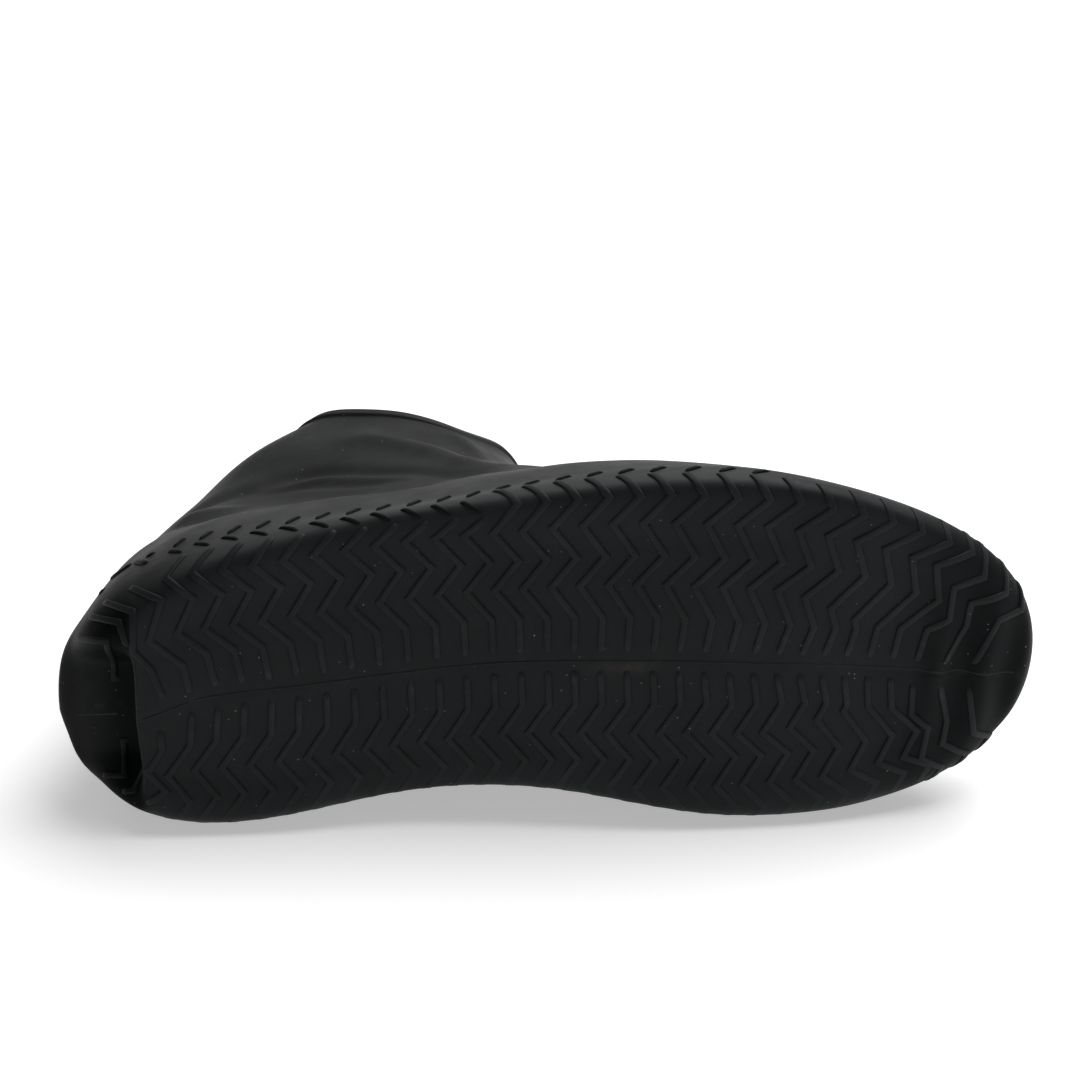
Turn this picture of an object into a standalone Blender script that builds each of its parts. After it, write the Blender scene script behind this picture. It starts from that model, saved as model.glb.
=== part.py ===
"""Overshoe moulded in one piece from silicone rubber, slack, lying on its side.

The surface is worked out in the shoe's own frame in millimetres: x from the heel to the toe, h up from
the ground under the sole, t across, plus on the side that ends up on top.  It is then bent a little in
the plane of its sole and laid on its side: X along the shoe, Y from the sole to the collar, Z up.
"""
import math

import bmesh
import bpy
import numpy as np

MM = 0.001

# ------------------------------------------------------------------ sizes, mm
LENGTH = 290.0
SOLE_WALL, UPPER_WALL, RIM_WALL = 2.2, 1.5, 2.2
BEAD_OUT = 0.5                       # how far the rim's bead stands out from the shaft

# One ring of the outer surface for each row, from the edge of the sole up to the collar:
# its back and front ends, its height at the back, the side and the front, its half widths at four
# stations along it, and how round its two ends are (half width that the end would have if it were an ellipse).
COLUMNS = ("x_back", "x_front", "h_back", "h_side", "h_front",
           "w_heel", "w_waist", "w_ball", "w_toe", "round_back", "round_front")
LEVELS = {
    "feather": (6.0, 282.0, 4.0, 3.0, 13.0, 35.8, 34.6, 46.2, 36.0, 63.0, 68.0),
    "welt":    (1.0, 288.8, 11.0, 7.2, 19.0, 39.4, 37.9, 50.4, 39.7, 70.0, 72.0),
    "wall":    (0.0, 290.0, 26.0, 19.0, 29.0, 40.2, 38.8, 51.0, 39.6, 72.0, 70.0),
    "low":     (5.0, 279.0, 50.0, 40.0, 42.5, 39.0, 39.0, 49.0, 32.0, 70.0, 62.0),
    "vamp":    (15.0, 240.0, 78.0, 66.0, 54.5, 33.5, 35.0, 38.5, 24.0, 64.0, 52.0),
    "instep":  (27.8, 192.0, 104.0, 90.0, 76.0, 32.0, 35.5, 34.0, 22.0, 58.0, 44.0),
    "throat":  (42.0, 155.0, 128.0, 112.0, 98.0, 33.5, 38.5, 36.0, 25.0, 52.0, 44.0),
    "collar":  (66.0, 142.5, 153.5, 131.5, 131.0, 34.3, 40.3, 34.4, 26.2, 51.0, 56.0),
}
# The lower edge is rolled under by the cover's own weight, so the side on top is wider by this much:
# at the heel, waist, ball and toe, and how much rounder its front end is.
TOP_MORE = {
    "feather": (3.7, 12.2, 9.0, 6.3, 8.0),
    "welt":    (3.2, 11.0, 6.2, 2.8, 9.0),
    "wall":    (2.6, 8.6, 2.8, -2.4, 3.0),
    "low":     (1.5, 5.2, -2.0, -3.0, 0.0),
}
HEEL_LEAN, HEEL_LEAN_RUN = 0.15, 55.0   # how far the top side of the heel's end leans towards the toe
STATIONS = (0.15, 0.40, 0.70, 0.90)  # heel, waist, ball and toe, as parts of a ring's length
SPLITS = {"sole": 11, "welt": 2, "wall": 2, "low": 3, "vamp": 3, "instep": 3, "throat": 3, "collar": 4}
AROUND = 40                          # faces along each side of a ring

SPINE_BACK, SPINE_FRONT = 40.0, 262.0   # the sole's rings close on this part of the centre line
CROWN = 0.8                          # the sole's edge is this much higher than its centre
TOE_SPRING, SPRING_FROM = 15.5, 185.0
HEEL_LIFT, HEEL_FROM = 2.0, 32.0
ARCH, ARCH_X, ARCH_RUN = 4.5, 112.0, 45.0

# the heel is pushed in: a fold across the sole and a flat patch behind it
RIDGE_X, RIDGE_LEAN = 25.5, 0.15     # where the fold runs, and how it leans across the sole
DENT_HALF = 29.0                     # half its length across
DENT_IN, DENT_RUN = 12.5, 46.0       # depth of the fold, and length of the profile it bends
DENT_TURN = 5.0                      # half length over which the fold turns
DENT_TOP = 30.0                      # height at which the heel is back in its own form
DENT_STEEP, DENT_FLAT = 84.0, 150.0  # directions of the fold's wall and of the patch, degrees
HEEL_RADIUS = 36.0

# how it lies
BEND_RADIUS, BEND_X = 610.0, 150.0
ROLL, PITCH = 4.0, 1.72              # degrees
PRESS = 1.4                          # how far the floor presses the sides flat


def smooth(a, b, x):
    u = np.clip((np.asarray(x, float) - a) / (b - a), 0.0, 1.0)
    return u * u * (3.0 - 2.0 * u)


def spline(xs, ys, x):
    """Natural cubic spline through a few points."""
    xs, ys = np.asarray(xs, float), np.asarray(ys, float)
    n, gap = len(xs), np.diff(xs)
    rows, rhs = np.eye(n), np.zeros(n)
    for i in range(1, n - 1):
        rows[i, i - 1:i + 2] = gap[i - 1], 2 * (gap[i - 1] + gap[i]), gap[i]
        rhs[i] = 6 * ((ys[i + 1] - ys[i]) / gap[i] - (ys[i] - ys[i - 1]) / gap[i - 1])
    m = np.linalg.solve(rows, rhs)
    i = np.clip(np.searchsorted(xs, x) - 1, 0, n - 2)
    lo, hi, g = x - xs[i], xs[i + 1] - x, gap[i]
    return ((m[i] * hi ** 3 + m[i + 1] * lo ** 3) / (6 * g)
            + (ys[i] / g - m[i] * g / 6) * hi + (ys[i + 1] / g - m[i + 1] * g / 6) * lo)


def ground(x):
    """Height of the sole's centre line: toe spring, arch and a small lift at the heel."""
    up = TOE_SPRING * np.clip((x - SPRING_FROM) / (LENGTH - SPRING_FROM), 0, None) ** 2
    up = up + HEEL_LIFT * np.clip((HEEL_FROM - x) / HEEL_FROM, 0, None) ** 2
    return up + ARCH * np.exp(-((x - ARCH_X) / ARCH_RUN) ** 2)


def ring(name, s, side):
    """x, half width and height of a ring at s, 0 at the heel and 1 at the toe."""
    v = dict(zip(COLUMNS, LEVELS[name]))
    if side > 0:
        for c, more in zip(COLUMNS[5:9] + COLUMNS[10:], TOP_MORE.get(name, (0.0,) * 5)):
            v[c] += more
    ends = 2.0 * np.sqrt(np.clip(s * (1.0 - s), 0.0, None))
    full = [v["round_back"]]
    full += [v[c] / (2.0 * math.sqrt(q * (1.0 - q))) for q, c in zip(STATIONS, ("w_heel", "w_waist", "w_ball", "w_toe"))]
    full += [v["round_front"]]
    w = ends * spline((0.0,) + STATIONS + (1.0,), full, s)
    x = v["x_back"] + (v["x_front"] - v["x_back"]) * s
    q = STATIONS[1]
    h = (v["h_back"] * (s - q) * (s - 1) / q + v["h_side"] * s * (s - 1) / (q * (q - 1))
         + v["h_front"] * s * (s - q) / (1 - q))
    if name == "feather":
        h = ground(x) + CROWN
    return x, w, h


def rays(s, side):
    """Control points of each ray from the centre line, over the sole's edge and up to the collar."""
    x0 = SPINE_BACK + (SPINE_FRONT - SPINE_BACK) * s
    xe, we, _ = ring("feather", s, side)
    points = []
    for r in (0.0, 0.33, 0.66):
        x = x0 + (xe - x0) * r
        points.append((x, ground(x) + CROWN * r * r, side * we * r))
    for name in LEVELS:
        x, w, h = ring(name, s, side)
        points.append((x, h, side * w))
    return np.stack([np.stack(p, -1) for p in points], 1)


def along(P, q):
    """Centripetal Catmull-Rom curve through each ray's control points, at the knots q."""
    n = P.shape[1]
    first = np.stack([2 * P[:, 0, 0] - P[:, 1, 0], P[:, 1, 1], -P[:, 1, 2]], -1)
    E = np.concatenate([first[:, None], P, 2 * P[:, -1:] - P[:, -2:-1]], 1)
    out = []
    for v in q:
        k = min(int(v), n - 2)
        p = [E[:, k + j] for j in range(4)]
        d = [np.sqrt(np.maximum(np.linalg.norm(b - a, axis=1, keepdims=True), 1e-9)) for a, b in zip(p, p[1:])]
        t0, t1 = 0.0, d[0]
        t2, t3 = t1 + d[1], t1 + d[1] + d[2]
        t = t1 + (t2 - t1) * (v - k)
        a1 = (t1 - t) / (t1 - t0) * p[0] + (t - t0) / (t1 - t0) * p[1]
        a2 = (t2 - t) / (t2 - t1) * p[1] + (t - t1) / (t2 - t1) * p[2]
        a3 = (t3 - t) / (t3 - t2) * p[2] + (t - t2) / (t3 - t2) * p[3]
        b1 = (t2 - t) / (t2 - t0) * a1 + (t - t0) / (t2 - t0) * a2
        b2 = (t3 - t) / (t3 - t1) * a2 + (t - t1) / (t3 - t1) * a3
        out.append((t2 - t) / (t2 - t1) * b1 + (t - t1) / (t2 - t1) * b2)
    return np.stack(out, 1)


def knots():
    """Knots of the rings: none on the centre line, then over the sole and up each level."""
    q = [3.0 * (i + 1) / SPLITS["sole"] for i in range(SPLITS["sole"])]
    for k, name in enumerate(list(LEVELS)[1:]):
        q += [3.0 + k + (i + 1) / SPLITS[name] for i in range(SPLITS[name])]
    return q


def fold_profile():
    """The heel's bent profile in the plane of the centre line, from the fold back to the heel's own form."""
    m = np.linspace(-6.0, DENT_RUN + 6.0, 600)
    turn = 180.0 + (DENT_STEEP - 180.0) * smooth(-DENT_TURN, DENT_TURN, m)
    turn = turn + (DENT_FLAT - DENT_STEEP) * smooth(DENT_IN - DENT_TURN, DENT_IN + DENT_TURN, m)
    a, step = np.radians(turn), m[1] - m[0]
    x = 6.0 + np.concatenate([[0.0], np.cumsum(np.cos(a[:-1]) * step)])
    h = np.concatenate([[0.0], np.cumsum(np.sin(a[:-1]) * step)])
    return m, x, h


def push_heel_in(P):
    x, h, t = P[..., 0], P[..., 1], P[..., 2]
    ridge = RIDGE_X + RIDGE_LEAN * t
    back = np.minimum(t * t / (2.0 * HEEL_RADIUS), ridge - 6.0)
    u, v = (ridge - x) / (ridge - back), h / DENT_TOP
    behind = u > 0.0
    m = np.where(behind, DENT_RUN * np.arctan2(np.maximum(u, 1e-9), 1.0 - v) / (math.pi / 2), ridge - x)
    pm, px, ph = fold_profile()
    fx, fh = np.interp(m, pm, px), np.interp(m, pm, ph)
    dx = np.where(behind, ridge + fx - x, fx + m)
    dh = np.where(behind, fh - h, fh)
    amount = 1.0 - smooth(0.30, 1.0, np.abs(t) / DENT_HALF)
    amount = amount * (1.0 - smooth(DENT_RUN - 10.0, DENT_RUN + 4.0, m)) * (m > -6.0)
    amount = np.where(behind, amount, amount * (h < 15.0))
    return np.stack([x + amount * dx, h + amount * dh, t], -1)


def lay_down(P):
    x, h, t = P[..., 0], P[..., 1], P[..., 2]
    x = x + HEEL_LEAN * np.maximum(t, 0.0) * (1.0 - smooth(0.0, HEEL_LEAN_RUN, x))
    a = (x - BEND_X) / BEND_RADIUS
    X, Y, Z = (BEND_RADIUS + t) * np.sin(a), h, (BEND_RADIUS + t) * np.cos(a) - BEND_RADIUS
    r, p = math.radians(ROLL), math.radians(PITCH)
    Y, Z = Y * math.cos(r) + Z * math.sin(r), Z * math.cos(r) - Y * math.sin(r)
    X, Z = X * math.cos(p) - Z * math.sin(p), Z * math.cos(p) + X * math.sin(p)
    return np.stack([X, Y, Z], -1)


def outer_surface():
    """Vertices of the outer side, their wall thicknesses, and the quads between them."""
    s = (1.0 - np.cos(np.linspace(0.0, math.pi, AROUND + 1))) / 2.0
    q = knots()
    up, down = along(rays(s, 1.0), [0.0] + q), along(rays(s, -1.0), [0.0] + q)
    points, index = [], {}
    for j in range(len(q) + 1):
        for side, grid in ((1, up), (-1, down)):
            for i in range(AROUND + 1):
                if side < 0 and (j == 0 or i in (0, AROUND)):
                    index[side, i, j] = index[1, i, j]
                    continue
                index[side, i, j] = len(points)
                points.append(grid[i, j])
    knot = np.zeros(len(points))
    for (side, i, j), k in index.items():
        knot[k] = ([0.0] + q)[j]
    quads = []
    for j in range(len(q)):
        for i in range(AROUND):
            a, b, c, d = ((i, j), (i + 1, j), (i + 1, j + 1), (i, j + 1))
            quads.append([index[(1,) + v] for v in (a, b, c, d)])
            quads.append([index[(-1,) + v] for v in (d, c, b, a)])
    rim = [index[1, i, len(q)] for i in range(AROUND + 1)] + [index[-1, i, len(q)] for i in range(AROUND - 1, 0, -1)]
    return np.array(points), knot, quads, rim


def normals(P, quads):
    Q = np.array(quads)
    face = np.cross(P[Q[:, 2]] - P[Q[:, 0]], P[Q[:, 3]] - P[Q[:, 1]])
    out = np.zeros_like(P)
    for k in range(4):
        np.add.at(out, Q[:, k], face)
    return out / np.linalg.norm(out, axis=1, keepdims=True)


def main():
    for obj in list(bpy.data.objects):
        bpy.data.objects.remove(obj, do_unlink=True)

    P, knot, quads, rim = outer_surface()
    P = push_heel_in(P)
    last = 2.0 + len(LEVELS)
    outward = normals(P, quads)
    if np.sum(outward[:, 1] * (knot < 2.0)) > 0:       # the sole must face away from the collar
        quads = [f[::-1] for f in quads]
        outward = -outward
    bead = smooth(last - 0.26, last - 0.02, knot)
    P = P + outward * (BEAD_OUT * bead)[:, None]
    P = lay_down(P)

    # set it down on the floor, pressed flat where its sides touch
    P[:, 2] -= np.min(P[knot < 6.5, 2]) + PRESS
    P[:, 2] = np.maximum(P[:, 2], 0.0)

    wall = SOLE_WALL + (UPPER_WALL - SOLE_WALL) * smooth(3.4, 5.0, knot) + (RIM_WALL - UPPER_WALL) * bead
    inner = P - normals(P, quads) * wall[:, None]

    middle = np.array([(P[:, 0].min() + P[:, 0].max()) / 2, (P[:, 1].min() + P[:, 1].max()) / 2, 0.0])
    n = len(P)
    verts = (np.concatenate([P, inner]) - middle) * MM
    faces = [list(f) for f in quads] + [[v + n for v in reversed(f)] for f in quads]
    loop = list(zip(rim, rim[1:] + rim[:1]))
    edges = {(a, b) for f in quads for a, b in zip(f, f[1:] + f[:1])}
    for a, b in loop:
        faces.append([b, a, a + n, b + n] if (a, b) in edges else [a, b, b + n, a + n])

    mesh = bpy.data.meshes.new("moulded_cover")
    mesh.from_pydata([tuple(map(float, v)) for v in verts], [], faces)
    bm = bmesh.new()
    bm.from_mesh(mesh)
    bmesh.ops.triangulate(bm, faces=bm.faces[:])
    bm.normal_update()
    if bm.calc_volume(signed=True) < 0:
        bmesh.ops.reverse_faces(bm, faces=bm.faces[:])
    bm.to_mesh(mesh)
    bm.free()

    cover = bpy.data.objects.new("moulded_cover", mesh)
    group = bpy.data.collections.new("silicone_overshoe")
    bpy.context.scene.collection.children.link(group)
    group.objects.link(cover)
    rubber = bpy.data.materials.new("black_silicone")
    rubber.use_nodes = True
    shader = rubber.node_tree.nodes["Principled BSDF"]
    shader.inputs["Base Color"].default_value = (0.021, 0.022, 0.023, 1.0)
    shader.inputs["Roughness"].default_value = 0.55
    mesh.materials.append(rubber)


main()
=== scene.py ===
import math

import bpy
import numpy as np
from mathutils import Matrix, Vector
from mathutils.bvhtree import BVHTree


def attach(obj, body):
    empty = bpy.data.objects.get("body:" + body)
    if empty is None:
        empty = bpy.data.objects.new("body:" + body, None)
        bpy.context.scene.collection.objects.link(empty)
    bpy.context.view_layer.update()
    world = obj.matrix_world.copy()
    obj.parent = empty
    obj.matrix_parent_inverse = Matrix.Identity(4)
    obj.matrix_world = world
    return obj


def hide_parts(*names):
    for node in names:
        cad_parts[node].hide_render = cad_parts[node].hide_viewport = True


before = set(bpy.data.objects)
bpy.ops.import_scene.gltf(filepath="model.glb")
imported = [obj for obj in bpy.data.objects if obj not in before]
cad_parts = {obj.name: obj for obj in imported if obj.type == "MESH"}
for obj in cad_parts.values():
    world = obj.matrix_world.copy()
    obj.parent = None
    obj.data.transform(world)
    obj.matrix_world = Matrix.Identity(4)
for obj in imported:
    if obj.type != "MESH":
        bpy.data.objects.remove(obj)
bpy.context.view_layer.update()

MM = 0.001

# ====================================================================== form of the moulding, mm
# Shoe's own frame: x from the heel to the toe, h up from the ground under the sole, t across
# (plus on the side that ends up on top).  The same laws as the solid's.
LENGTH = 290.0
SOLE_WALL, UPPER_WALL, RIM_WALL = 2.2, 1.5, 2.2
BEAD_OUT = 0.5

COLUMNS = ("x_back", "x_front", "h_back", "h_side", "h_front",
           "w_heel", "w_waist", "w_ball", "w_toe", "round_back", "round_front")
LEVELS = {
    "feather": (6.0, 282.0, 4.0, 3.0, 13.0, 35.8, 34.6, 46.2, 36.0, 63.0, 68.0),
    "welt":    (1.0, 288.8, 11.0, 7.2, 19.0, 39.4, 37.9, 50.4, 39.7, 70.0, 72.0),
    "wall":    (0.0, 290.0, 26.0, 19.0, 29.0, 40.2, 38.8, 51.0, 39.6, 72.0, 70.0),
    "low":     (5.0, 279.0, 50.0, 40.0, 42.5, 39.0, 39.0, 49.0, 32.0, 70.0, 62.0),
    "vamp":    (15.0, 240.0, 78.0, 66.0, 54.5, 33.5, 35.0, 38.5, 24.0, 64.0, 52.0),
    "instep":  (27.8, 192.0, 104.0, 90.0, 76.0, 32.0, 35.5, 34.0, 22.0, 58.0, 44.0),
    "throat":  (42.0, 155.0, 128.0, 112.0, 98.0, 33.5, 38.5, 36.0, 25.0, 52.0, 44.0),
    "collar":  (66.0, 142.5, 153.5, 131.5, 131.0, 34.3, 40.3, 34.4, 26.2, 51.0, 56.0),
}
# The lower edge is rolled under by the cover's own weight, so the top side is wider: at heel, waist, ball, toe and front end.
TOP_MORE = {
    "feather": (3.7, 12.2, 9.0, 6.3, 8.0),
    "welt":    (3.2, 11.0, 6.2, 2.8, 9.0),
    "wall":    (2.6, 8.6, 2.8, -2.4, 3.0),
    "low":     (1.5, 5.2, -2.0, -3.0, 0.0),
}
HEEL_LEAN, HEEL_LEAN_RUN = 0.15, 55.0  # how far the top side of the heel's end leans towards the toe
STATIONS = (0.15, 0.40, 0.70, 0.90)
SPLITS = {"sole": 11, "welt": 2, "wall": 2, "low": 3, "vamp": 3, "instep": 3, "throat": 3, "collar": 4}
AROUND = 40

SPINE_BACK, SPINE_FRONT = 40.0, 262.0
CROWN = 0.8
TOE_SPRING, SPRING_FROM = 15.5, 185.0
HEEL_LIFT, HEEL_FROM = 2.0, 32.0
ARCH, ARCH_X, ARCH_RUN = 4.5, 112.0, 45.0

RIDGE_X, RIDGE_LEAN = 25.5, 0.15
DENT_HALF = 29.0
DENT_IN, DENT_RUN = 12.5, 46.0
DENT_TURN, SHARP_TURN = 5.0, 2.6     # how softly the heel's fold turns in the solid, and here
DENT_FADE, SHARP_FADE = 0.30, 0.42   # part of its half length from which it fades out, in the solid and here
DENT_TOP = 30.0
DENT_STEEP, DENT_FLAT = 84.0, 150.0
HEEL_RADIUS = 36.0

BEND_RADIUS, BEND_X = 610.0, 150.0
ROLL, PITCH = 4.0, 1.72
PRESS = 1.4


def smooth(a, b, x):
    u = np.clip((np.asarray(x, float) - a) / (b - a), 0.0, 1.0)
    return u * u * (3.0 - 2.0 * u)


def spline(xs, ys, x):
    """Natural cubic spline through a few points."""
    xs, ys = np.asarray(xs, float), np.asarray(ys, float)
    n, gap = len(xs), np.diff(xs)
    rows, rhs = np.eye(n), np.zeros(n)
    for i in range(1, n - 1):
        rows[i, i - 1:i + 2] = gap[i - 1], 2 * (gap[i - 1] + gap[i]), gap[i]
        rhs[i] = 6 * ((ys[i + 1] - ys[i]) / gap[i] - (ys[i] - ys[i - 1]) / gap[i - 1])
    m = np.linalg.solve(rows, rhs)
    i = np.clip(np.searchsorted(xs, x) - 1, 0, n - 2)
    lo, hi, g = x - xs[i], xs[i + 1] - x, gap[i]
    return ((m[i] * hi ** 3 + m[i + 1] * lo ** 3) / (6 * g)
            + (ys[i] / g - m[i] * g / 6) * hi + (ys[i + 1] / g - m[i + 1] * g / 6) * lo)


def ground(x):
    """Height of the sole's centre line: toe spring, arch and a small lift at the heel."""
    up = TOE_SPRING * np.clip((x - SPRING_FROM) / (LENGTH - SPRING_FROM), 0, None) ** 2
    up = up + HEEL_LIFT * np.clip((HEEL_FROM - x) / HEEL_FROM, 0, None) ** 2
    return up + ARCH * np.exp(-((x - ARCH_X) / ARCH_RUN) ** 2)


def ring(name, s, side):
    """x, half width and height of a ring at s, 0 at the heel and 1 at the toe."""
    v = dict(zip(COLUMNS, LEVELS[name]))
    if side > 0:
        for c, more in zip(COLUMNS[5:9] + COLUMNS[10:], TOP_MORE.get(name, (0.0,) * 5)):
            v[c] += more
    ends = 2.0 * np.sqrt(np.clip(s * (1.0 - s), 0.0, None))
    full = [v["round_back"]]
    full += [v[c] / (2.0 * math.sqrt(q * (1.0 - q))) for q, c in zip(STATIONS, ("w_heel", "w_waist", "w_ball", "w_toe"))]
    full += [v["round_front"]]
    w = ends * spline((0.0,) + STATIONS + (1.0,), full, s)
    x = v["x_back"] + (v["x_front"] - v["x_back"]) * s
    q = STATIONS[1]
    h = (v["h_back"] * (s - q) * (s - 1) / q + v["h_side"] * s * (s - 1) / (q * (q - 1))
         + v["h_front"] * s * (s - q) / (1 - q))
    if name == "feather":
        h = ground(x) + CROWN
    return x, w, h


def rays(s, side):
    """Control points of each ray from the centre line, over the sole's edge and up to the collar."""
    x0 = SPINE_BACK + (SPINE_FRONT - SPINE_BACK) * s
    xe, we, _ = ring("feather", s, side)
    points = []
    for r in (0.0, 0.33, 0.66):
        x = x0 + (xe - x0) * r
        points.append((x, ground(x) + CROWN * r * r, side * we * r))
    for name in LEVELS:
        x, w, h = ring(name, s, side)
        points.append((x, h, side * w))
    return np.stack([np.stack(p, -1) for p in points], 1)


def along(P, q):
    """Centripetal Catmull-Rom curve through each ray's control points, at the knots q."""
    n = P.shape[1]
    first = np.stack([2 * P[:, 0, 0] - P[:, 1, 0], P[:, 1, 1], -P[:, 1, 2]], -1)
    E = np.concatenate([first[:, None], P, 2 * P[:, -1:] - P[:, -2:-1]], 1)
    out = []
    for v in q:
        k = min(int(v), n - 2)
        p = [E[:, k + j] for j in range(4)]
        d = [np.sqrt(np.maximum(np.linalg.norm(b - a, axis=1, keepdims=True), 1e-9)) for a, b in zip(p, p[1:])]
        t0, t1 = 0.0, d[0]
        t2, t3 = t1 + d[1], t1 + d[1] + d[2]
        t = t1 + (t2 - t1) * (v - k)
        a1 = (t1 - t) / (t1 - t0) * p[0] + (t - t0) / (t1 - t0) * p[1]
        a2 = (t2 - t) / (t2 - t1) * p[1] + (t - t1) / (t2 - t1) * p[2]
        a3 = (t3 - t) / (t3 - t2) * p[2] + (t - t2) / (t3 - t2) * p[3]
        b1 = (t2 - t) / (t2 - t0) * a1 + (t - t0) / (t2 - t0) * a2
        b2 = (t3 - t) / (t3 - t1) * a2 + (t - t1) / (t3 - t1) * a3
        out.append((t2 - t) / (t2 - t1) * b1 + (t - t1) / (t2 - t1) * b2)
    return np.stack(out, 1)


def knots(splits):
    """Knots of the rings: none on the centre line, then over the sole and up each level."""
    q = [3.0 * (i + 1) / splits["sole"] for i in range(splits["sole"])]
    for k, name in enumerate(list(LEVELS)[1:]):
        q += [3.0 + k + (i + 1) / splits[name] for i in range(splits[name])]
    return q


def fold_profile(dent_turn):
    """The heel's bent profile in the plane of the centre line, from the fold back to the heel's own form."""
    m = np.linspace(-6.0, DENT_RUN + 6.0, 600)
    turn = 180.0 + (DENT_STEEP - 180.0) * smooth(-dent_turn, dent_turn, m)
    turn = turn + (DENT_FLAT - DENT_STEEP) * smooth(DENT_IN - dent_turn, DENT_IN + dent_turn, m)
    a, step = np.radians(turn), m[1] - m[0]
    x = 6.0 + np.concatenate([[0.0], np.cumsum(np.cos(a[:-1]) * step)])
    h = np.concatenate([[0.0], np.cumsum(np.sin(a[:-1]) * step)])
    return m, x, h


def push_heel_in(P, dent_turn=DENT_TURN, fade=DENT_FADE):
    x, h, t = P[..., 0], P[..., 1], P[..., 2]
    ridge = RIDGE_X + RIDGE_LEAN * t
    back = np.minimum(t * t / (2.0 * HEEL_RADIUS), ridge - 6.0)
    u, v = (ridge - x) / (ridge - back), h / DENT_TOP
    behind = u > 0.0
    m = np.where(behind, DENT_RUN * np.arctan2(np.maximum(u, 1e-9), 1.0 - v) / (math.pi / 2), ridge - x)
    pm, px, ph = fold_profile(dent_turn)
    fx, fh = np.interp(m, pm, px), np.interp(m, pm, ph)
    dx = np.where(behind, ridge + fx - x, fx + m)
    dh = np.where(behind, fh - h, fh)
    amount = 1.0 - smooth(fade, 1.0, np.abs(t) / DENT_HALF)
    amount = amount * (1.0 - smooth(DENT_RUN - 10.0, DENT_RUN + 4.0, m)) * (m > -6.0)
    amount = np.where(behind, amount, amount * (h < 15.0))
    return np.stack([x + amount * dx, h + amount * dh, t], -1)


def lay_down(P):
    x, h, t = P[..., 0], P[..., 1], P[..., 2]
    x = x + HEEL_LEAN * np.maximum(t, 0.0) * (1.0 - smooth(0.0, HEEL_LEAN_RUN, x))
    a = (x - BEND_X) / BEND_RADIUS
    X, Y, Z = (BEND_RADIUS + t) * np.sin(a), h, (BEND_RADIUS + t) * np.cos(a) - BEND_RADIUS
    r, p = math.radians(ROLL), math.radians(PITCH)
    Y, Z = Y * math.cos(r) + Z * math.sin(r), Z * math.cos(r) - Y * math.sin(r)
    X, Z = X * math.cos(p) - Z * math.sin(p), Z * math.cos(p) + X * math.sin(p)
    return np.stack([X, Y, Z], -1)


def outer_surface(around, splits, extra=()):
    """Points of the outer side, their knots, the quads between them, and the rim's loop."""
    s = (1.0 - np.cos(np.linspace(0.0, math.pi, around + 1))) / 2.0
    q = sorted([0.0] + knots(splits) + list(extra))
    rows = len(q)
    up, down = along(rays(s, 1.0), q), along(rays(s, -1.0), q)
    index = {1: np.zeros((around + 1, rows), int), -1: np.zeros((around + 1, rows), int)}
    points, knot = [], []
    for j in range(rows):
        for side, grid in ((1, up), (-1, down)):
            for i in range(around + 1):
                if side < 0 and (j == 0 or i in (0, around)):
                    index[side][i, j] = index[1][i, j]
                    continue
                index[side][i, j] = len(points)
                points.append(grid[i, j])
                knot.append(q[j])
    quads = []
    for side in (1, -1):
        g = index[side]
        f = np.stack([g[:-1, :-1], g[1:, :-1], g[1:, 1:], g[:-1, 1:]], -1).reshape(-1, 4)
        quads.append(f if side > 0 else f[:, ::-1])
    rim = np.concatenate([index[1][:, -1], index[-1][around - 1:0:-1, -1]])
    return np.array(points), np.array(knot), np.concatenate(quads), rim


def normals(P, quads):
    face = np.cross(P[quads[:, 2]] - P[quads[:, 0]], P[quads[:, 3]] - P[quads[:, 1]])
    out = np.zeros_like(P)
    for k in range(4):
        np.add.at(out, quads[:, k], face)
    return out / np.maximum(np.linalg.norm(out, axis=1, keepdims=True), 1e-12)


LAST = 2.0 + len(LEVELS)


def bead(knot):
    return smooth(LAST - 0.26, LAST - 0.02, knot)


def frame_constants():
    """How far the solid is lifted onto the floor, and the middle that its origin stands under."""
    P, knot, quads, _ = outer_surface(AROUND, SPLITS)
    P = push_heel_in(P)
    out = normals(P, quads)
    if np.sum(out[:, 1] * (knot < 2.0)) > 0:
        out = -out
    P = lay_down(P + out * (BEAD_OUT * bead(knot))[:, None])
    lift = -(np.min(P[knot < 6.5, 2]) + PRESS)
    P[:, 2] = np.maximum(P[:, 2] + lift, 0.0)
    middle = np.array([(P[:, 0].min() + P[:, 0].max()) / 2, (P[:, 1].min() + P[:, 1].max()) / 2, 0.0])
    return lift, middle


LIFT, MIDDLE = frame_constants()

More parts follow.
